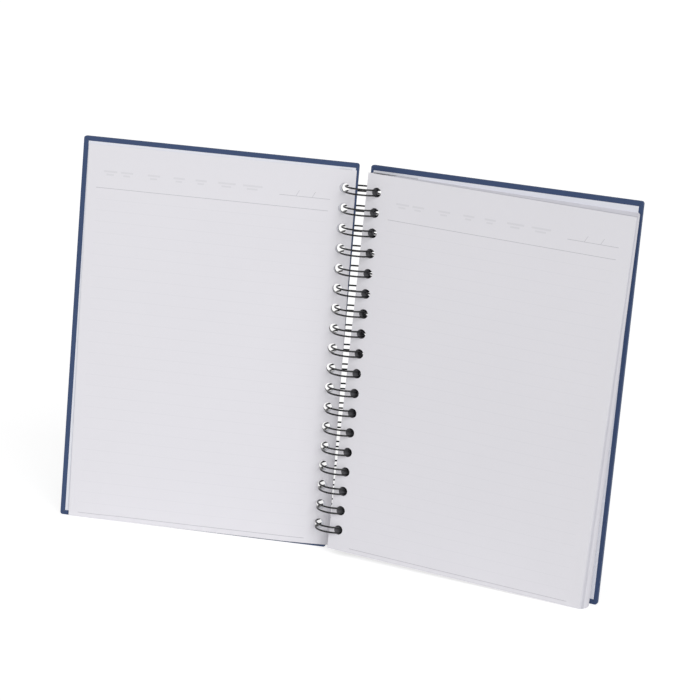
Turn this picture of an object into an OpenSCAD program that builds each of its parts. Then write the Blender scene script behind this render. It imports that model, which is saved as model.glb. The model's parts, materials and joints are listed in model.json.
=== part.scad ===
// Twin-loop wire-bound notebook, standing open on its bottom edges.
// Millimetres, +Z up. The reader stands on the -Y side. The origin is the
// middle of the whole notebook's footprint, on the surface it stands on.

/* [Leaves] */
// Width of a leaf, from its punched edge to its fore-edge
leaf_w = 171; // [150:0.5:190]
// Height of a leaf
leaf_h = 240.5; // [200:0.5:280]
// Thickness of the leaves turned over onto the front cover
front_stack = 0.8; // [0.4:0.1:2]
// Thickness of the leaves still lying on the back cover
back_stack = 7.2; // [4:0.1:8]
// Thickness of one sheaf of leaves that has slipped as one
sheaf_t = 1.2; // [0.8:0.1:2.4]

/* [Covers] */
// How far a cover stands out past the leaves at head and foot
head_overhang = 3.75; // [2:0.25:6]
// How far a cover stands out past the leaves at the fore-edge
fore_overhang = 5; // [2:0.5:6]
// Thickness of the grey board
board_t = 2; // [1.5:0.1:2.5]
// Thickness of the blue wrapping sheet
wrap_t = 0.2; // [0.15:0.01:0.3]
// Thickness of the endpaper
endpaper_t = 0.15; // [0.1:0.01:0.25]
// Width of the wrapping sheet turned in over the inner face
turn_in = 15; // [13:1:20]
// Width of the blue border left bare round the endpaper
border = 4; // [3:0.5:6]
// Corner radius of the boards
corner_r = 1.6; // [1:0.1:3]
// Width of the mitre line between two turned-in flaps
mitre_w = 0.25; // [0.15:0.05:0.5]

/* [Punching] */
// Distance from one hole to the next
pitch = 12.7; // [11:0.1:14]
// Diameter of the punched holes
hole_d = 6; // [5.6:0.1:6.5]
// Distance from the hole centres to the punched edge
hole_edge = 6.8; // [5:0.1:9]
// Least distance from the first hole centre to the head of a leaf
end_margin = 8; // [6:1:14]
// How far the row of holes sits above the middle of a leaf
row_lift = 0.9; // [0:0.1:1.4]

/* [Wire] */
// Diameter of the wire
wire_d = 1.1; // [0.9:0.05:1.3]
// Inside diameter of the closed loops
loop_id = 21.4; // [19:0.1:25]
// Distance between the two wires of a loop, centre to centre
twin = 3.4; // [3:0.1:3.6]
// Radius of the bend from a loop into its link
link_bend = 1.2; // [0.8:0.1:2]
// Gap between a loop's closed tip and the link wire
tip_gap = 0.4; // [0.2:0.1:1]
// Length of the cut wire left at each end of the binding
stub = 1.6; // [1:0.1:3]
// Where the seam lies round the loops, in degrees from +X
seam_angle = 73.5; // [65:0.5:76]

/* [Pose] */
// Angle between the two inner faces
open_angle = 163; // [150:1:175]
// Room left between the two stacks when the notebook is shut
shut_gap = 0.3; // [0.2:0.1:1]
// How far the shut notebook sits off the middle of the loops
stack_shift = 0.65; // [0:0.05:1]
// Clearance kept between the wire and the edge of a hole
wire_clear = 0.15; // [0.1:0.05:0.2]
// Share of the play in the holes by which the leaves hang askew
sag_share = 0.78; // [0:0.01:0.85]
// Share of that play by which the front leaves are drawn outward
front_draw = 0.1; // [0:0.01:0.1]
// Share of that play by which the back leaves have slid inward
back_slide = 0.12; // [0:0.01:0.15]

/* [Hidden] */

// Smoothness of the holes, the loops and the wire
hole_fn = 48;
loop_fn = 120;
wire_fn = 20;
// A cut runs this far past the face that it opens
past = 1;
// A sheaf reaches this far into the one below, so that they are one stack
lap = 0.02;
// Radius of the bead where two bends of the wire meet, over the wire's own
bead = 0.03;

cover_w = leaf_w + fore_overhang;
cover_h = leaf_h + 2 * head_overhang;
cover_t = board_t + 2 * wrap_t + endpaper_t;
turn_top = board_t + 2 * wrap_t;
// The endpaper's edge runs midway between the holes and the punched edge
spine_border = (hole_edge - hole_d / 2) / 2;

// Levels out of the page, measured from the axis of the loops. Shut, the two
// halves face each other and their outsides stand evenly in the loops.
shut_t = 2 * cover_t + front_stack + back_stack + shut_gap;
back_base = -shut_t / 2 - stack_shift;
back_inner = back_base + cover_t;
back_top = back_inner + back_stack;
front_top = -back_top - shut_gap;
front_inner = front_top - front_stack;
front_base = front_inner - cover_t;

wire_r = wire_d / 2;
loop_r = (loop_id + wire_d) / 2;
loops = floor((leaf_h - 2 * end_margin) / pitch) + 1;
span = (loops - 1) * pitch;

// Half of the angle by which the two halves fall short of a flat line
lean = (180 - open_angle) / 2;

// Sideways play of a pair of wires in a round hole, less the clearance
play = sqrt(pow(hole_d / 2 - wire_r, 2) - pow(twin / 2, 2)) - wire_clear;
sag = asin(sag_share * play / (span / 2));

// Distance from the axis of the loops to the wire at a level
function reach(level) = sqrt(pow(loop_r, 2) - pow(level, 2));
// Middle and spread of that distance through a thickness
function mid_reach(a, b) = (reach(a) + reach(b)) / 2;
function spread(a, b) = abs(reach(a) - reach(b)) / 2;

// Hole lines of the two covers, each drawn as far as its holes allow
front_line = mid_reach(front_base, front_inner)
    + play - spread(front_base, front_inner);
back_line = mid_reach(back_base, back_inner)
    - play + spread(back_base, back_inner);

// Seam of the loops, as angles round their axis
bend_turn = link_bend / loop_r * 180 / PI;
tip_turn = (twin / 2 + wire_d + tip_gap) / loop_r * 180 / PI;
loop_start = seam_angle + bend_turn;
loop_sweep = 360 - bend_turn - tip_turn;

// The loops' axis stands where the footprint is centred on the origin
front_far = front_line - hole_edge + cover_w;
back_far = back_line - hole_edge + cover_w;
back_leaf_far = mid_reach(back_top - sheaf_t, back_top) - back_slide * play
    + (leaf_w - hole_edge) * cos(sag) + (leaf_h / 2 - row_lift) * sin(sag);
left_x = front_far * cos(lean) - front_base * sin(lean);
right_x = back_far * cos(lean) - back_base * sin(lean);
near_y = back_leaf_far * sin(lean) + back_top * cos(lean);
axis_x = (left_x - right_x) / 2;
axis_y = (near_y - loop_r - wire_r) / 2;

wrap_color = [0.11, 0.19, 0.34];
board_color = [0.55, 0.54, 0.52];
endpaper_color = [0.90, 0.92, 0.95];
leaf_color = [0.95, 0.95, 0.94];
wire_color = [0.06, 0.06, 0.07];

// Placing. A half is drawn lying open: x runs from the loops' axis to the
// fore-edge, y up the page from its foot, z out of the page.
module at_axis() {
    translate([axis_x, axis_y, 0])
        children();
}

module back_half() {
    at_axis()
        rotate([0, 0, -lean])
            rotate([90, 0, 0])
                children();
}

module front_half() {
    at_axis()
        mirror([1, 0, 0])
            rotate([0, 0, -lean])
                rotate([90, 0, 0])
                    children();
}

// A plate with rounded corners, from one corner at the origin
module plate(w, h, t, r) {
    linear_extrude(t) {
        translate([r, 0])
            square([w - 2 * r, h]);
        translate([0, r])
            square([w, h - 2 * r]);
        for (x = [r, w - r], y = [r, h - r])
            translate([x, y])
                circle(r, $fn = hole_fn);
    }
}

// The row of punched holes, centred on the origin, cut through a thickness
module hole_row(t) {
    for (i = [0:loops - 1])
        translate([0, i * pitch - span / 2, -past])
            cylinder(d = hole_d, h = t + 2 * past, $fn = hole_fn);
}

// Covers. A cover is drawn from the corner at the foot of its punched edge,
// with its outer face down.
module cover_holes() {
    translate([hole_edge, cover_h / 2, 0])
        hole_row(cover_t);
}

module cover_plate(inset, t, r) {
    translate([inset, inset, 0])
        plate(cover_w - 2 * inset, cover_h - 2 * inset, t, r);
}

// A square-cut layer of a cover: in from the punched edge, in from the others
module cover_layer(near, inset, t) {
    translate([near, inset, 0])
        cube([cover_w - near - inset, cover_h - 2 * inset, t]);
}

// One mitre, from a board's corner to the corner of the turned-in flaps
module mitre(x_side, y_side) {
    run = (turn_in - corner_r) * sqrt(2) + mitre_w;
    translate([cover_w / 2, cover_h / 2, 0])
        scale([x_side, y_side, 1])
            translate([corner_r - cover_w / 2, corner_r - cover_h / 2, 0])
                rotate([0, 0, 45])
                    translate([0, -mitre_w / 2, wrap_t + board_t])
                        cube([run, mitre_w, wrap_t + past]);
}

module board() {
    difference() {
        translate([0, 0, wrap_t])
            cover_plate(wrap_t, board_t, corner_r - wrap_t);
        cover_holes();
    }
}

// The wrapping sheet: outer face, four edges and four turned-in flaps
module wrap() {
    difference() {
        cover_plate(0, turn_top, corner_r);
        translate([0, 0, wrap_t])
            cover_plate(wrap_t, board_t, corner_r - wrap_t);
        translate([0, 0, wrap_t + board_t / 2])
            cover_layer(turn_in, turn_in, turn_top);
        for (x_side = [-1, 1], y_side = [-1, 1])
            mitre(x_side, y_side);
        cover_holes();
    }
}

// The endpaper lies on the board and steps up over the turned-in flaps
module endpaper() {
    well = turn_in + endpaper_t;
    difference() {
        union() {
            translate([0, 0, wrap_t + board_t])
                cover_layer(turn_in, turn_in, wrap_t);
            translate([0, 0, turn_top])
                cover_layer(spine_border, border, endpaper_t);
        }
        translate([0, 0, wrap_t + board_t + endpaper_t])
            cover_layer(well, well, turn_top);
        cover_holes();
    }
}

module in_front_cover() {
    front_half()
        translate([front_line - hole_edge, 0, front_base])
            children();
}

module in_back_cover() {
    back_half()
        translate([back_line - hole_edge, 0, back_base])
            children();
}

// Leaves. A sheaf hangs by its holes on the loops: it keeps to the wire's
// curve at its own level, and its fore-edge drops by the play in the holes.
module sheaf(level, t, slide, angle) {
    line = mid_reach(level, level + t) + slide;
    translate([line, cover_h / 2, level])
        rotate([0, 0, -angle])
            difference() {
                translate([-hole_edge, -leaf_h / 2 - row_lift, 0])
                    cube([leaf_w, leaf_h, t]);
                hole_row(t);
            }
}

// A stack of sheaves, the upper ones hanging further askew than the lower
module stack(base, thickness, slide) {
    sheaves = max(1, round(thickness / sheaf_t));
    t = thickness / sheaves;
    for (i = [0:sheaves - 1]) {
        dip = i > 0 ? lap : 0;
        askew = sag * (0.7 + 0.3 * (i + 1) / sheaves);
        sheaf(base + i * t - dip, t + dip, slide, askew);
    }
}

// Wire. Each piece of it is placed on the loops' cylinder: x points out from
// the axis, y along the turn and z up.
module round_wire(bend, turn, start) {
    rotate([0, 90, 0])
        rotate([0, 0, start])
            rotate_extrude(angle = turn, $fn = hole_fn)
                translate([bend, 0])
                    circle(wire_r, $fn = wire_fn);
}

// One wire of a loop, from the seam all the way round to its tip, with a
// bead at either end where it meets the tip and the bend to the link
module loop_wire(z) {
    translate([0, 0, z])
        rotate([0, 0, loop_start]) {
            rotate_extrude(angle = loop_sweep, $fn = loop_fn)
                translate([loop_r, 0])
                    circle(wire_r, $fn = wire_fn);
            for (turn = [0, loop_sweep])
                rotate([0, 0, turn])
                    translate([loop_r, 0, 0])
                        sphere(wire_r + bead, $fn = wire_fn);
        }
}

// The closed tip that joins a loop's two wires
module loop_tip(z) {
    rotate([0, 0, loop_start + loop_sweep])
        translate([loop_r, 0, z])
            round_wire(twin / 2, 180, 0);
}

// The bends from a loop's two wires into the links above and below it
module link_bends(z) {
    rotate([0, 0, loop_start])
        translate([loop_r, 0, z]) {
            translate([0, 0, twin / 2 + link_bend])
                round_wire(link_bend, 90, -90);
            translate([0, 0, -twin / 2 - link_bend])
                round_wire(link_bend, 90, 180);
        }
}

// A straight length of wire at the seam, standing on a height
module link(z, length) {
    rotate([0, 0, loop_start])
        translate([loop_r, -link_bend, z])
            cylinder(r = wire_r, h = length, $fn = wire_fn);
}

module wire() {
    first = cover_h / 2 - span / 2;
    side = twin / 2 + link_bend;
    for (i = [0:loops - 1]) {
        z = first + i * pitch;
        loop_wire(z - twin / 2);
        loop_wire(z + twin / 2);
        loop_tip(z);
        link_bends(z);
        if (i < loops - 1)
            link(z + side, pitch - 2 * side);
    }
    link(first - side - stub, stub);
    link(first + span + side, stub);
}

module front_board() {
    color(board_color)
        in_front_cover()
            board();
}

module front_wrap() {
    color(wrap_color)
        in_front_cover()
            wrap();
}

module front_endpaper() {
    color(endpaper_color)
        in_front_cover()
            endpaper();
}

module front_leaves() {
    color(leaf_color)
        front_half()
            stack(front_inner, front_stack, front_draw * play);
}

module back_board() {
    color(board_color)
        in_back_cover()
            board();
}

module back_wrap() {
    color(wrap_color)
        in_back_cover()
            wrap();
}

module back_endpaper() {
    color(endpaper_color)
        in_back_cover()
            endpaper();
}

module back_leaves() {
    color(leaf_color)
        back_half()
            stack(back_inner, back_stack, -back_slide * play);
}

module binding_wire() {
    color(wire_color)
        at_axis()
            wire();
}

front_board();
front_wrap();
front_endpaper();
front_leaves();
back_board();
back_wrap();
back_endpaper();
back_leaves();
binding_wire();
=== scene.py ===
"""Wire-bound notebook, standing open on its bottom edges: materials, slumped
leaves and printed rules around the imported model. Metres, +Z up, and the reader
stands on the -Y side."""
import json
from math import cos, radians, sin, sqrt

import bmesh
import bpy
from mathutils import Matrix, Vector


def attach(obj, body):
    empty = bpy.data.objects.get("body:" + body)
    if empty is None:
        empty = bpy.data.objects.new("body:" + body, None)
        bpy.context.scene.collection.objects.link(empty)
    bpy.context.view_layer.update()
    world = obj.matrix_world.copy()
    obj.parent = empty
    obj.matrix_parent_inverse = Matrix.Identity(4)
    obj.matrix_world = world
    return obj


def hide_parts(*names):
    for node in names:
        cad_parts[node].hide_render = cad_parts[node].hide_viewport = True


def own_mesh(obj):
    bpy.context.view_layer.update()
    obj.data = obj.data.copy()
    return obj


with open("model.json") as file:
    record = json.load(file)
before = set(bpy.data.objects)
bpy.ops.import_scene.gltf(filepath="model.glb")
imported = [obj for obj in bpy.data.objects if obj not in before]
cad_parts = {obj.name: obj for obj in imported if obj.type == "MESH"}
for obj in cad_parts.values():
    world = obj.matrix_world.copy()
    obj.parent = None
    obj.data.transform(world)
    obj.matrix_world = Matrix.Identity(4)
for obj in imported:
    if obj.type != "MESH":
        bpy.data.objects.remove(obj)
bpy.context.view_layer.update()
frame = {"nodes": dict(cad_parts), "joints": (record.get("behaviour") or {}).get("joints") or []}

MM = 0.001
swing = next(j for j in frame["joints"] if j["name"] == "cover_swing")
# Middle of the wire loops, and how far each half leans from a flat line
LOOP_AXIS = Vector(swing["pos_m"])
LEAN = radians((180 - swing["range_deg"][1]) / 2)

# A leaf, from the solids. FOOT is how far it reaches below the middle of its
# row of holes, and it hangs askew by a small angle.
HOLE_EDGE = 6.8 * MM
LEAF_W = 171 * MM
LEAF_H = 240.5 * MM
FOOT = 121.15 * MM
ASKEW = radians(0.668)
HOLE_RADIUS = 3 * MM
HOLE_SLACK = 0.1 * MM
HOLE_STEP = 12.7 * MM

# From the loops' axis to the middle of the wire, how high the middle of each row
# of holes is, and how far out from the axis
LOOP_RADIUS = 11.25 * MM
ROW_MIDDLE = 124 * MM
RIGHT_HOLES = 10.9 * MM
LEFT_HOLES = 10.97 * MM

# Where a stack is cut so that it can bend: up the row by the step of the holes,
# and across, in mm out from the holes
CUTS_UP = range(-9, 10)
CUTS_ACROSS = (-4, 4, 8, *range(22, 160, 14))
# How near two points count as one, how near a point is on a cut, and how little
# a face may turn and still be one with the next
SAME_SPOT = 1e-6
ON_THE_CUT = 1e-7
FLAT = radians(0.5)

# Printing, from the left end of the rules and up from the middle of the holes.
# Lengths without MM are in mm, here and for the leaves below. HALF is half a
# line's thickness, and a day's bar has its left end and its length.
RULE_LENGTH = 148.9 * MM
RULE_STEP = 7.027 * MM
FIRST_RULE = -118.3 * MM
RULE_SPACES = 30
FAINT_HALF = 0.14 * MM
FIRM_HALF = 0.16 * MM
DATE_LINE = (117.5, 149.6)
DATE_HEIGHT = 99.8
DATE_STROKES = (127.9, 138.1)
STROKE_WIDTH = 0.3 * MM
STROKE_HEIGHT = 3.6 * MM
STROKE_SLANT = 0.55
DAY_BARS = ((4.6, 8.6), (15.6, 7.9), (33.0, 7.9), (49.6, 7.3),
            (63.7, 7.2), (78.3, 11.1), (94.2, 12.4))
UPPER_BARS = (102.5, 103.7)
LOWER_BARS = (100.6, 101.7)

# How far out from the holes the rules begin on the right page and end on the
# left one, and how much wider the right one is printed
RIGHT_RULES = 9.2 * MM
LEFT_RULES = 158.2 * MM
RIGHT_WIDER = 1.018

# How the right stack hangs. Pairs are its lowest leaf and its top leaf. One
# curve shapes the change between these two, and the other that across the page.
LEAF_CURVE = 0.7
PAGE_CURVE = 0.8
LIFT_AT_HOLES = (1.8, 6.1)
LIFT_AT_FORE_EDGE = (3.2, 9.3)
LIFT_EASED = 1.4
HEAD_DRAWN_IN = (-1.8, 0.75)
FOOT_DRAWN_IN = (1.2, 0.4)
CURL = 0.7
SPREAD = (0.8, 0.4)
HEAD_SPREAD = 2
SPINE_HEAD_RISE = (0.1, 0.3)
FORE_HEAD_RISE = (-0.9, -2.4)
# The same for every leaf: by the spine, then at the fore edge
FOOT_RISE = (0.2, -0.9)

# How the left leaves hang: by the spine, then at the fore edge
LEFT_FOOT_OUT = (-0.3, 0.6)
LEFT_FOOT_RISE = (-0.5, -0.9)
LEFT_HEAD_RISE = (0.1, 1.9)
LEFT_FOOT_CUT = 1.5
LEFT_LIFT = 0.5

# How much nearer to the covers' edges the endpapers come: at the fore edge, and
# at the head and the foot
RIGHT_BORDER = (1.5 * MM, 0.8 * MM)
LEFT_BORDER = (0.8 * MM, 1.0 * MM)

# Light and camera, with angles in degrees and places in metres
SOFT_LIGHT = 0.45
KEY_AIM = (-0.55, 0.85, -0.5)
KEY_SPREAD = 45
KEY_STRENGTH = 1.6
FLOOR_SIZE = 60
FLOOR_TONE = 0.86
FLOOR_TONE_SEEN = 0.45
FLOOR_GLOW_SEEN = 0.73
CAMERA_PLACE = (0.342404, -1.216324, 0.376294)
CAMERA_TURN = (79.02824, -5.04657, 16.51863)
CAMERA_LENS = 105.7729


# Places on the halves and on the leaves

def half_frame(side):
    """Coordinates of one half: x out from the loops, y up the page, z out of it."""
    out = Vector((side * cos(LEAN), -sin(LEAN), 0))
    face = Vector((-side * sin(LEAN), -cos(LEAN), 0))
    place = Matrix((out, (0, 0, 1), face)).transposed().to_4x4()
    place.translation = LOOP_AXIS
    return place


RIGHT_HALF = half_frame(1)
LEFT_HALF = half_frame(-1)


def in_a_hole(spot):
    """Whether a spot of the leaf is within a hole of its row. The row is taken
    to run on past its ends, so a little of the head and the foot counts too."""
    along = abs(spot[1]) % HOLE_STEP - HOLE_STEP / 2
    return spot[0] ** 2 + along ** 2 < (HOLE_RADIUS + HOLE_SLACK) ** 2


def on_leaf(point, hole_line):
    """A point of a half, from the middle of the leaf's row of holes."""
    x, y = point.x - hole_line, point.y - ROW_MIDDLE
    return x * cos(ASKEW) - y * sin(ASKEW), x * sin(ASKEW) + y * cos(ASKEW)


# Placing and joining nodes

def add_node(tree, kind, where=(0, 0), **settings):
    made = tree.nodes.new(kind)
    made.location = where
    for name, value in settings.items():
        setattr(made, name, value)
    return made


def join(tree, start, end):
    tree.links.new(start, end)


def math_node(tree, operation, first, second=None, where=(0, 0), clamp=False):
    """A Math node; each input is a number or another node's output."""
    made = add_node(tree, "ShaderNodeMath", where, operation=operation, use_clamp=clamp)
    for socket, value in zip(made.inputs, (first, second)):
        if isinstance(value, (int, float)):
            socket.default_value = value
        elif value is not None:
            join(tree, value, socket)
    return made.outputs[0]


def mix_color(tree, share, under, over, where=(0, 0)):
    """A colour with a share of a plain one laid over it."""
    made = add_node(tree, "ShaderNodeMix", where, data_type="RGBA")
    # Its sockets for numbers, vectors and colours share their names: these are
    # A, B and Result for colours
    first, second, result = made.inputs[6], made.inputs[7], made.outputs[2]
    join(tree, share, made.inputs["Factor"])
    join(tree, under, first)
    second.default_value = over
    return result


def new_group(name, inputs, outputs):
    """A shader group with named inputs and outputs."""
    group = bpy.data.node_groups.new(name, "ShaderNodeTree")
    for label, kind, value in inputs:
        socket = group.interface.new_socket(name=label, in_out="INPUT", socket_type=kind)
        if value is not None:
            socket.default_value = value
    for label, kind in outputs:
        group.interface.new_socket(name=label, in_out="OUTPUT", socket_type=kind)
    start = add_node(group, "NodeGroupInput", (-900, 0))
    end = add_node(group, "NodeGroupOutput", (900, 0))
    return group, start.outputs, end.inputs


def place_group(tree, group, where=(0, 0), **values):
    made = add_node(tree, "ShaderNodeGroup", where, node_tree=group)
    for label, value in values.items():
        socket = made.inputs[label.replace("_", " ")]
        if isinstance(value, (int, float, tuple)):
            socket.default_value = value
        else:
            join(tree, value, socket)
    return made.outputs


# Effects that several materials share

def make_mottle():
    """Slow change of tone over a sheet, with fine fibres in it."""
    group, given, out = new_group("mottle", [
        ("Vector", "NodeSocketVector", None),
        ("Color", "NodeSocketColor", (0.8, 0.8, 0.8, 1)),
        ("Cloud Scale", "NodeSocketFloat", 20.0),
        ("Fibre Scale", "NodeSocketFloat", 1500.0),
        ("Amount", "NodeSocketFloat", 0.03)],
        [("Color", "NodeSocketColor"), ("Height", "NodeSocketFloat")])
    cloud = add_node(group, "ShaderNodeTexNoise", (-600, 200))
    cloud.inputs["Detail"].default_value = 3
    join(group, given["Vector"], cloud.inputs["Vector"])
    join(group, given["Cloud Scale"], cloud.inputs["Scale"])
    fibre = add_node(group, "ShaderNodeTexNoise", (-600, -100))
    fibre.inputs["Detail"].default_value = 4
    fibre.inputs["Distortion"].default_value = 1.5
    join(group, given["Vector"], fibre.inputs["Vector"])
    join(group, given["Fibre Scale"], fibre.inputs["Scale"])
    both = math_node(group, "ADD", cloud.outputs["Fac"], fibre.outputs["Fac"], (-350, 50))
    centred = math_node(group, "SUBTRACT", both, 1.0, (-150, 50))
    scaled = math_node(group, "MULTIPLY", centred, given["Amount"], (50, 50))
    tone = math_node(group, "ADD", scaled, 1.0, (250, 50))
    tinted = add_node(group, "ShaderNodeVectorMath", (500, 100), operation="SCALE")
    join(group, given["Color"], tinted.inputs[0])
    join(group, tone, tinted.inputs["Scale"])
    join(group, tinted.outputs[0], out["Color"])
    join(group, fibre.outputs["Fac"], out["Height"])
    return group


def make_bar():
    """1 inside an upright rectangle, 0 outside it. A slant leans its sides."""
    group, given, out = new_group("bar", [
        ("X", "NodeSocketFloat", 0.0), ("Y", "NodeSocketFloat", 0.0),
        ("Left", "NodeSocketFloat", 0.0), ("Right", "NodeSocketFloat", 0.0),
        ("Low", "NodeSocketFloat", 0.0), ("High", "NodeSocketFloat", 0.0),
        ("Slant", "NodeSocketFloat", 0.0)], [("Mask", "NodeSocketFloat")])
    rise = math_node(group, "SUBTRACT", given["Y"], given["Low"], (-700, -200))
    lean = math_node(group, "MULTIPLY", rise, given["Slant"], (-520, -200))
    x = math_node(group, "SUBTRACT", given["X"], lean, (-350, 0))
    right_of = math_node(group, "GREATER_THAN", x, given["Left"], (-150, 150))
    left_of = math_node(group, "LESS_THAN", x, given["Right"], (-150, 0))
    above = math_node(group, "GREATER_THAN", given["Y"], given["Low"], (-150, -150))
    below = math_node(group, "LESS_THAN", given["Y"], given["High"], (-150, -300))
    across = math_node(group, "MULTIPLY", right_of, left_of, (100, 80))
    upright = math_node(group, "MULTIPLY", above, below, (100, -200))
    join(group, math_node(group, "MULTIPLY", across, upright, (350, 0)), out["Mask"])
    return group


def make_print(bar):
    """The printed sheet: faint rules, a firm one at head and foot, a row of
    small grey bars for the days and a line with two strokes for the date."""
    group, given, out = new_group("page print", [
        ("X", "NodeSocketFloat", 0.0), ("Y", "NodeSocketFloat", 0.0)],
        [("Rules", "NodeSocketFloat"), ("Lines", "NodeSocketFloat"), ("Bars", "NodeSocketFloat")])
    x, y = given["X"], given["Y"]

    def rectangle(left, right, low, high, slant=0.0, where=(0, 0)):
        return place_group(group, bar, where, X=x, Y=y, Left=left, Right=right,
                           Low=low, High=high, Slant=slant)["Mask"]

    def total(masks, where):
        result = masks[0]
        for step, mask in enumerate(masks[1:]):
            result = math_node(group, "MAXIMUM", result, mask, (where[0] + 160 * step, where[1]))
        return result

    head = FIRST_RULE + RULE_SPACES * RULE_STEP
    turns = math_node(group, "DIVIDE", math_node(group, "SUBTRACT", y, FIRST_RULE, (-700, 500)),
                      RULE_STEP, (-520, 500))
    nearest = math_node(group, "ROUND", turns, None, (-350, 560))
    gap = math_node(group, "ABSOLUTE", math_node(group, "SUBTRACT", turns, nearest, (-180, 500)),
                    None, (-20, 500))
    on_rule = math_node(group, "LESS_THAN", gap, FAINT_HALF / RULE_STEP, (140, 500))
    field = rectangle(0.0, RULE_LENGTH, FIRST_RULE - MM, head + MM, where=(140, 660))
    join(group, math_node(group, "MULTIPLY", on_rule, field, (360, 560)), out["Rules"])

    low = DATE_HEIGHT * MM
    lines = []
    for step, (left, right, height) in enumerate((
            (0.0, RULE_LENGTH, FIRST_RULE), (0.0, RULE_LENGTH, head),
            (DATE_LINE[0] * MM, DATE_LINE[1] * MM, low))):
        lines.append(rectangle(left, right, height - FIRM_HALF, height + FIRM_HALF,
                               where=(-300, 250 - 200 * step)))
    for step, left in enumerate(DATE_STROKES):
        lines.append(rectangle(left * MM, left * MM + STROKE_WIDTH, low, low + STROKE_HEIGHT,
                               STROKE_SLANT, (-300, -350 - 200 * step)))
    join(group, total(lines, (0, 100)), out["Lines"])

    bars = []
    for step, (left, width) in enumerate(DAY_BARS):
        # The lower bar is about half as long and stands in a little
        inner, short = left + 0.2 * width, 0.55 * width
        for begin, length, (foot, top), down in (
                (left, width, UPPER_BARS, 0), (inner, short, LOWER_BARS, 190)):
            bars.append(rectangle(begin * MM, (begin + length) * MM, foot * MM, top * MM,
                                  where=(-300, -750 - 380 * step - down)))
    join(group, total(bars, (0, -900)), out["Bars"])
    return group


MOTTLE = make_mottle()
BAR = make_bar()
PAGE_PRINT = make_print(BAR)


# Materials

def new_material(name, roughness, specular=0.5):
    material = bpy.data.materials.new(name)
    material.use_nodes = True
    tree = material.node_tree
    shader = tree.nodes["Principled BSDF"]
    shader.inputs["Roughness"].default_value = roughness
    shader.inputs["Specular IOR Level"].default_value = specular
    return material, tree, shader


def place_of(tree):
    return add_node(tree, "ShaderNodeTexCoord", (-1100, 0)).outputs["Object"]


def add_bump(tree, shader, height, strength, distance, where=(-250, -300)):
    bump = add_node(tree, "ShaderNodeBump", where)
    bump.inputs["Strength"].default_value = strength
    bump.inputs["Distance"].default_value = distance
    join(tree, height, bump.inputs["Height"])
    join(tree, bump.outputs["Normal"], shader.inputs["Normal"])


def vary_roughness(tree, shader, grain, amount, least):
    """Roughness that follows a grain, from its least value up."""
    more = math_node(tree, "MULTIPLY", grain, amount, (-420, -550))
    rough = math_node(tree, "ADD", more, least, (-250, -550))
    join(tree, rough, shader.inputs["Roughness"])


def paper(name, color, roughness=0.82, amount=0.03):
    material, tree, shader = new_material(name, roughness, 0.25)
    look = place_group(tree, MOTTLE, (-600, 0), Vector=place_of(tree), Color=(*color, 1),
                       Cloud_Scale=14.0, Fibre_Scale=1800.0, Amount=amount)
    join(tree, look["Color"], shader.inputs["Base Color"])
    add_bump(tree, shader, look["Height"], 0.12, 0.00005)
    return material, tree, shader, look


def printed_paper(name, color):
    """Writing paper with its printing, which follows the sheet's own UV map."""
    material, tree, shader, look = paper(name, color)
    sheet = add_node(tree, "ShaderNodeUVMap", (-1300, 400), uv_map="sheet")
    split = add_node(tree, "ShaderNodeSeparateXYZ", (-1100, 400))
    join(tree, sheet.outputs["UV"], split.inputs[0])
    ink = place_group(tree, PAGE_PRINT, (-850, 400), X=split.outputs[0], Y=split.outputs[1])
    color_now = look["Color"]
    for step, (mask, share, tint) in enumerate((
            ("Rules", 0.15, (0.60, 0.60, 0.64, 1)),
            ("Bars", 0.22, (0.50, 0.50, 0.53, 1)),
            ("Lines", 0.5, (0.30, 0.29, 0.33, 1)))):
        part = math_node(tree, "MULTIPLY", ink[mask], share, (-600, 500 + 180 * step))
        color_now = mix_color(tree, part, color_now, tint, (-350 + 170 * step, 300))
    join(tree, color_now, shader.inputs["Base Color"])
    return material


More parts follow.
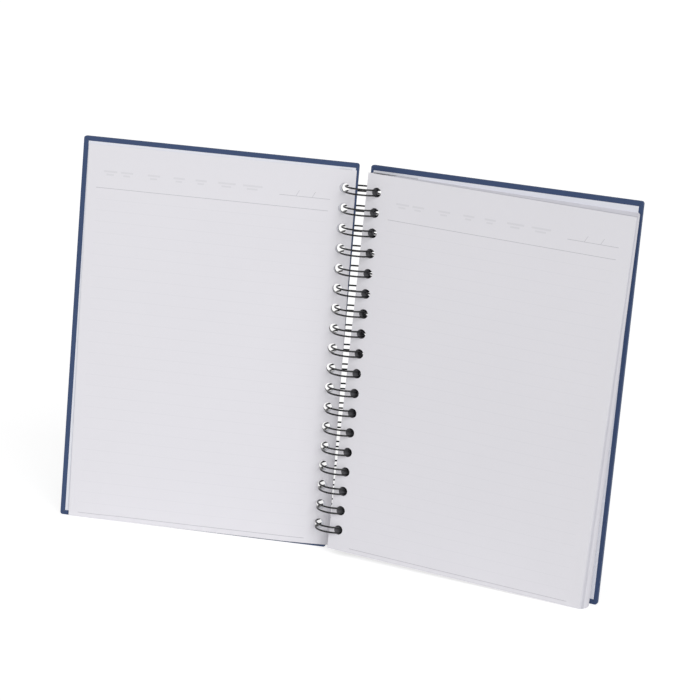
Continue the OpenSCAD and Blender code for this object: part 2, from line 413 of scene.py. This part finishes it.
def leaf_edges(name, color):
    """The cut edges of a stack: fine lines along the leaves, which change
    slowly along them, and the shadow just under the top leaf."""
    line_scale, drift = 3800, 0.03
    darker_from, line_strength = 0.62, 0.7
    shadow_level, shadow_strength = MM, 0.8
    fully_thick = 120.0
    material, tree, shader, look = paper(name, color, 0.9, 0.04)
    level = add_node(tree, "ShaderNodeAttribute", (-1300, 500), attribute_name="level")
    place = add_node(tree, "ShaderNodeVectorMath", (-1300, 300), operation="SCALE")
    place.inputs["Scale"].default_value = drift
    join(tree, place_of(tree), place.inputs[0])
    both = add_node(tree, "ShaderNodeCombineXYZ", (-1100, 500))
    join(tree, level.outputs["Fac"], both.inputs["X"])
    spot = add_node(tree, "ShaderNodeVectorMath", (-1100, 300), operation="ADD")
    join(tree, both.outputs[0], spot.inputs[0])
    join(tree, place.outputs[0], spot.inputs[1])
    lines = add_node(tree, "ShaderNodeTexNoise", (-900, 400))
    lines.inputs["Scale"].default_value = line_scale
    lines.inputs["Detail"].default_value = 2
    join(tree, spot.outputs[0], lines.inputs["Vector"])
    below = math_node(tree, "SUBTRACT", darker_from, lines.outputs["Fac"], (-700, 400))
    line = math_node(tree, "MULTIPLY", below, line_strength, (-520, 400), clamp=True)
    # Only a thick stack has the shadow
    depth = add_node(tree, "ShaderNodeAttribute", (-1300, 800), attribute_name="depth")
    away = math_node(tree, "SUBTRACT", depth.outputs["Fac"], shadow_level, (-1100, 800))
    away = math_node(tree, "ABSOLUTE", away, None, (-900, 800))
    away = math_node(tree, "DIVIDE", away, MM, (-700, 800))
    near = math_node(tree, "SUBTRACT", 1.0, away, (-520, 800), clamp=True)
    thick = math_node(tree, "MULTIPLY", level.outputs["Fac"], fully_thick, (-520, 620), clamp=True)
    shade = math_node(tree, "MULTIPLY", near, thick, (-350, 700))
    shade = math_node(tree, "MULTIPLY", shade, shadow_strength, (-200, 700))
    dark = math_node(tree, "ADD", line, shade, (-100, 560), clamp=True)
    shaded = mix_color(tree, dark, look["Color"], (0.5, 0.5, 0.55, 1), (-300, 300))
    join(tree, shaded, shader.inputs["Base Color"])
    add_bump(tree, shader, lines.outputs["Fac"], 0.4, 0.0001)
    return material


def covering_sheet(name, color):
    """Dark blue covering paper with a fine pressed grain."""
    material, tree, shader = new_material(name, 0.58, 0.35)
    place = place_of(tree)
    look = place_group(tree, MOTTLE, (-600, 0), Vector=place, Color=(*color, 1),
                       Cloud_Scale=30.0, Fibre_Scale=2600.0, Amount=0.16)
    join(tree, look["Color"], shader.inputs["Base Color"])
    grain = add_node(tree, "ShaderNodeTexVoronoi", (-600, -350), feature="SMOOTH_F1")
    grain.inputs["Scale"].default_value = 1700
    join(tree, place, grain.inputs["Vector"])
    height = math_node(tree, "ADD", grain.outputs["Distance"], look["Height"], (-420, -350))
    add_bump(tree, shader, height, 0.35, 0.0001)
    vary_roughness(tree, shader, grain.outputs["Distance"], 0.12, 0.52)
    return material


def grey_board(name):
    """Pulp board: flecks of lighter and darker fibre."""
    material, tree, shader = new_material(name, 0.9, 0.2)
    look = place_group(tree, MOTTLE, (-600, 0), Vector=place_of(tree),
                       Color=(0.27, 0.26, 0.245, 1), Cloud_Scale=250.0, Fibre_Scale=2200.0,
                       Amount=0.5)
    join(tree, look["Color"], shader.inputs["Base Color"])
    add_bump(tree, shader, look["Height"], 0.5, 0.0001)
    return material


def coated_wire(name):
    """Steel wire in a glossy black nylon coat."""
    material, tree, shader = new_material(name, 0.2, 0.25)
    shader.inputs["Coat Weight"].default_value = 0.1
    shader.inputs["Coat Roughness"].default_value = 0.08
    look = place_group(tree, MOTTLE, (-600, 0), Vector=place_of(tree),
                       Color=(0.011, 0.011, 0.013, 1), Cloud_Scale=120.0, Fibre_Scale=900.0,
                       Amount=0.3)
    join(tree, look["Color"], shader.inputs["Base Color"])
    add_bump(tree, shader, look["Height"], 0.06, 0.0001)
    vary_roughness(tree, shader, look["Height"], 0.16, 0.1)
    return material


WRITING_PAPER = (0.80, 0.79, 0.83)
PAGE = printed_paper("printed page", WRITING_PAPER)
# The cut edges are a little darker than the page's paper: painted shade for edges that take less
# light
EDGES = leaf_edges("leaf edges", (0.75, 0.74, 0.79))
# The hole walls are cut paper edges, painted near black: painted shade for the deep, narrow holes
HOLE_SHADE_PAINTED = paper("punched holes", (0.12, 0.12, 0.13))[0]
LEAF_LOOKS = (PAGE, EDGES, HOLE_SHADE_PAINTED)
ENDPAPER = paper("endpaper", (0.79, 0.80, 0.86))[0]
COVERING = covering_sheet("dark blue covering", (0.036, 0.064, 0.148))
BOARD = grey_board("grey board")
WIRE = coated_wire("black wire")

for node, material in (("front_board", BOARD), ("back_board", BOARD),
                       ("front_wrap", COVERING), ("back_wrap", COVERING),
                       ("binding_wire", WIRE)):
    kept = frame["nodes"][node].data.materials
    kept.clear()
    kept.append(material)


# Leaves

def between(low, high, share):
    return low + (high - low) * share


def slumped_stack(name, node, half, hole_line, reads_outward, sink):
    """A stack of leaves as its solid has it, cut into strips so that it can
    bend, and let down as loose leaves hang: sink moves each point of a half."""
    mesh = bpy.data.meshes.new(name)
    work = bmesh.new()
    work.from_mesh(frame["nodes"][node].data)
    bmesh.ops.remove_doubles(work, verts=work.verts, dist=SAME_SPOT)
    bmesh.ops.transform(work, matrix=half.inverted(), verts=work.verts)
    bmesh.ops.dissolve_limit(work, angle_limit=FLAT, verts=work.verts, edges=work.edges)
    middle = Vector((hole_line, ROW_MIDDLE, 0))
    out, up = Vector((cos(ASKEW), -sin(ASKEW), 0)), Vector((sin(ASKEW), cos(ASKEW), 0))
    cuts = [(up, HOLE_STEP * step) for step in CUTS_UP]
    cuts += [(out, x * MM) for x in CUTS_ACROSS]
    for normal, away in cuts:
        bmesh.ops.bisect_plane(work, geom=work.verts[:] + work.edges[:] + work.faces[:],
                               plane_co=middle + normal * away, plane_no=normal,
                               dist=ON_THE_CUT)
    levels = [v.co.z for v in work.verts]
    base, top = min(levels), max(levels)
    level = work.verts.layers.float.new("level")
    depth = work.verts.layers.float.new("depth")
    sheet = work.loops.layers.uv.new("sheet")
    for v in work.verts:
        v[level] = v.co.z - base
        v[depth] = top - v.co.z
    for face in work.faces:
        spot = on_leaf(face.calc_center_median(), hole_line)
        # Faces in a hole's wall take the near-black painted shade; other cut faces are leaf edges
        look = HOLE_SHADE_PAINTED if abs(spot[0]) < HOLE_RADIUS and in_a_hole(spot) else EDGES
        if all(v.co.z > top - SAME_SPOT for v in face.verts):
            look = PAGE
        face.material_index = LEAF_LOOKS.index(look)
        for corner in face.loops:
            x, y = on_leaf(corner.vert.co, hole_line)
            across = RIGHT_WIDER * (x - RIGHT_RULES) if reads_outward else LEFT_RULES - x
            corner[sheet].uv = (across, y)
    for v in work.verts:
        x, y = on_leaf(v.co, hole_line)
        v.co += sink(x, y, v.co.z, (v.co.z - base) / (top - base))
    bmesh.ops.transform(work, matrix=half, verts=work.verts)
    work.to_mesh(mesh)
    work.free()
    stack = bpy.data.objects.new(name, mesh)
    bpy.context.scene.collection.objects.link(stack)
    for look in LEAF_LOOKS:
        mesh.materials.append(look)
    return stack


def right_sink(x, y, level, height):
    """The thick stack sags at its foot: the leaves lift away from the cover,
    most of all at the top of the stack, and keep to the curve of the loops."""
    across = (x + HOLE_EDGE) / LEAF_W
    down = 1 - (y + FOOT) / LEAF_H
    loosened = height ** LEAF_CURVE
    lowest, top = LIFT_AT_FORE_EDGE
    at_holes = down * between(*LIFT_AT_HOLES, loosened) * MM
    at_fore_edge = between(lowest * down, top * down - LIFT_EASED * down ** 3, loosened) * MM
    lift = between(at_holes, at_fore_edge, max(0, x / (LEAF_W - HOLE_EDGE)) ** PAGE_CURVE)
    reach = sqrt(LOOP_RADIUS ** 2 - (level + at_holes) ** 2)
    hole_line = RIGHT_HOLES + y * sin(ASKEW)
    drawn_in = between(between(HEAD_DRAWN_IN[0], FOOT_DRAWN_IN[0], down),
                       between(HEAD_DRAWN_IN[1], FOOT_DRAWN_IN[1], down), height) * MM
    curled = CURL * MM * down ** 3 * height * max(0, -x / HOLE_EDGE)
    lowest, top = SPREAD
    spread = between(lowest * (1 - down), top + HEAD_SPREAD * (1 - down) ** 2, height)
    at_head = between(between(SPINE_HEAD_RISE[0], FORE_HEAD_RISE[0], across),
                      between(SPINE_HEAD_RISE[1], FORE_HEAD_RISE[1], across), height)
    rise = between(at_head, between(*FOOT_RISE, across), down) * MM
    return Vector((reach - drawn_in - hole_line + curled + across * spread * MM, rise, lift))


def left_sink(x, y, level, height):
    """The few turned leaves lie flat and hang by their holes, askew. Their
    foot is lower by the spine than the solid's."""
    across = (x + HOLE_EDGE) / LEAF_W
    up = (y + FOOT) / LEAF_H
    out = between(between(*LEFT_FOOT_OUT, across), 0, up)
    rise = between(between(*LEFT_FOOT_RISE, across), between(*LEFT_HEAD_RISE, across), up)
    on_the_foot_edge = up < 0.01
    if on_the_foot_edge:
        rise -= LEFT_FOOT_CUT * (1 - across) * min(1, 0.4 + 4 * across)
    lift = LEFT_LIFT * across * (1 - up)
    return Vector((out, rise, lift)) * MM


right_leaves = slumped_stack("right_leaves", "back_leaves", RIGHT_HALF, RIGHT_HOLES, True,
                             right_sink)
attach(right_leaves, "back_half")
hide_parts("back_leaves")
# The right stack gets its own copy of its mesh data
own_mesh(right_leaves)

left_leaves = slumped_stack("left_leaves", "front_leaves", LEFT_HALF, LEFT_HOLES, False,
                            left_sink)
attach(left_leaves, "front_half")
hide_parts("front_leaves")


# Endpapers, whose cut edges come nearer to the covers' edges than the solids'

def wider_endpaper(name, node, half, fore_edge, head_and_foot):
    """An endpaper as its solid has it, with three of its edges moved out."""
    mesh = bpy.data.meshes.new(name)
    work = bmesh.new()
    work.from_mesh(frame["nodes"][node].data)
    bmesh.ops.remove_doubles(work, verts=work.verts, dist=SAME_SPOT)
    bmesh.ops.transform(work, matrix=half.inverted(), verts=work.verts)
    far = max(v.co.x for v in work.verts)
    for v in work.verts:
        if v.co.x > far - MM:
            v.co.x += fore_edge
        if abs(v.co.y - ROW_MIDDLE) > ROW_MIDDLE - 6 * MM:
            v.co.y += head_and_foot if v.co.y > ROW_MIDDLE else -head_and_foot
    bmesh.ops.transform(work, matrix=half, verts=work.verts)
    work.to_mesh(mesh)
    work.free()
    sheet = bpy.data.objects.new(name, mesh)
    bpy.context.scene.collection.objects.link(sheet)
    mesh.materials.append(ENDPAPER)
    return sheet


right_endpaper = wider_endpaper("right_endpaper", "back_endpaper", RIGHT_HALF, *RIGHT_BORDER)
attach(right_endpaper, "back_half")
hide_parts("back_endpaper")
left_endpaper = wider_endpaper("left_endpaper", "front_endpaper", LEFT_HALF, *LEFT_BORDER)
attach(left_endpaper, "front_half")
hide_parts("front_endpaper")


# Floor, light and camera

def shown_to_viewer(tree, where):
    """1 for what the camera sees, by itself, in gloss or through glass."""
    path = add_node(tree, "ShaderNodeLightPath", where)
    seen = math_node(tree, "MAXIMUM", path.outputs["Is Camera Ray"],
                     path.outputs["Is Glossy Ray"], (where[0] + 200, where[1]))
    return math_node(tree, "MAXIMUM", seen, path.outputs["Is Transmission Ray"],
                     (where[0] + 380, where[1]))


def make_floor():
    """A floor that looks white and still takes the book's shadow."""
    mesh = bpy.data.meshes.new("floor")
    work = bmesh.new()
    bmesh.ops.create_grid(work, x_segments=1, y_segments=1, size=FLOOR_SIZE)
    work.to_mesh(mesh)
    work.free()
    floor = bpy.data.objects.new("floor", mesh)
    bpy.context.scene.collection.objects.link(floor)
    material, tree, shader = new_material("white floor", 0.9, 0.1)
    shader.inputs["Emission Color"].default_value = (1, 1, 1, 1)
    seen = shown_to_viewer(tree, (-1000, 0))
    glow = math_node(tree, "MULTIPLY", seen, FLOOR_GLOW_SEEN, (-350, -200))
    join(tree, glow, shader.inputs["Emission Strength"])
    change = math_node(tree, "MULTIPLY", seen, FLOOR_TONE_SEEN - FLOOR_TONE, (-350, 100))
    tone = math_node(tree, "ADD", change, FLOOR_TONE, (-180, 100))
    join(tree, tone, shader.inputs["Base Color"])
    mesh.materials.append(material)


def make_world():
    """Soft light from all round, and white wherever it is seen."""
    world = bpy.data.worlds.new("studio")
    world.use_nodes = True
    bpy.context.scene.world = world
    tree = world.node_tree
    tree.nodes.clear()
    mix = add_node(tree, "ShaderNodeMixShader", (0, 0))
    end = add_node(tree, "ShaderNodeOutputWorld", (250, 0))
    join(tree, shown_to_viewer(tree, (-1000, 200)), mix.inputs[0])
    for socket, strength, low in ((mix.inputs[1], SOFT_LIGHT, 0), (mix.inputs[2], 1.0, -200)):
        light = add_node(tree, "ShaderNodeBackground", (-300, low))
        light.inputs["Color"].default_value = (1, 1, 1, 1)
        light.inputs["Strength"].default_value = strength
        join(tree, light.outputs[0], socket)
    join(tree, mix.outputs[0], end.inputs[0])


def make_sun(name, aim, spread, strength):
    """Even light from far away, soft by the angle that it spans."""
    sun = bpy.data.lights.new(name, "SUN")
    sun.angle = radians(spread)
    sun.energy = strength
    holder = bpy.data.objects.new(name, sun)
    holder.rotation_euler = Vector(aim).to_track_quat("-Z", "Y").to_euler()
    bpy.context.scene.collection.objects.link(holder)


def make_camera():
    """The camera of the photograph, fitted to the book's outlines."""
    lens = bpy.data.cameras.new("camera")
    lens.sensor_width = 36
    lens.lens = CAMERA_LENS
    camera = bpy.data.objects.new("camera", lens)
    camera.location = CAMERA_PLACE
    camera.rotation_euler = [radians(turn) for turn in CAMERA_TURN]
    bpy.context.scene.collection.objects.link(camera)
    bpy.context.scene.camera = camera


make_floor()
make_world()
make_sun("key", KEY_AIM, KEY_SPREAD, KEY_STRENGTH)
make_camera()
bpy.context.scene.view_settings.view_transform = "Standard"
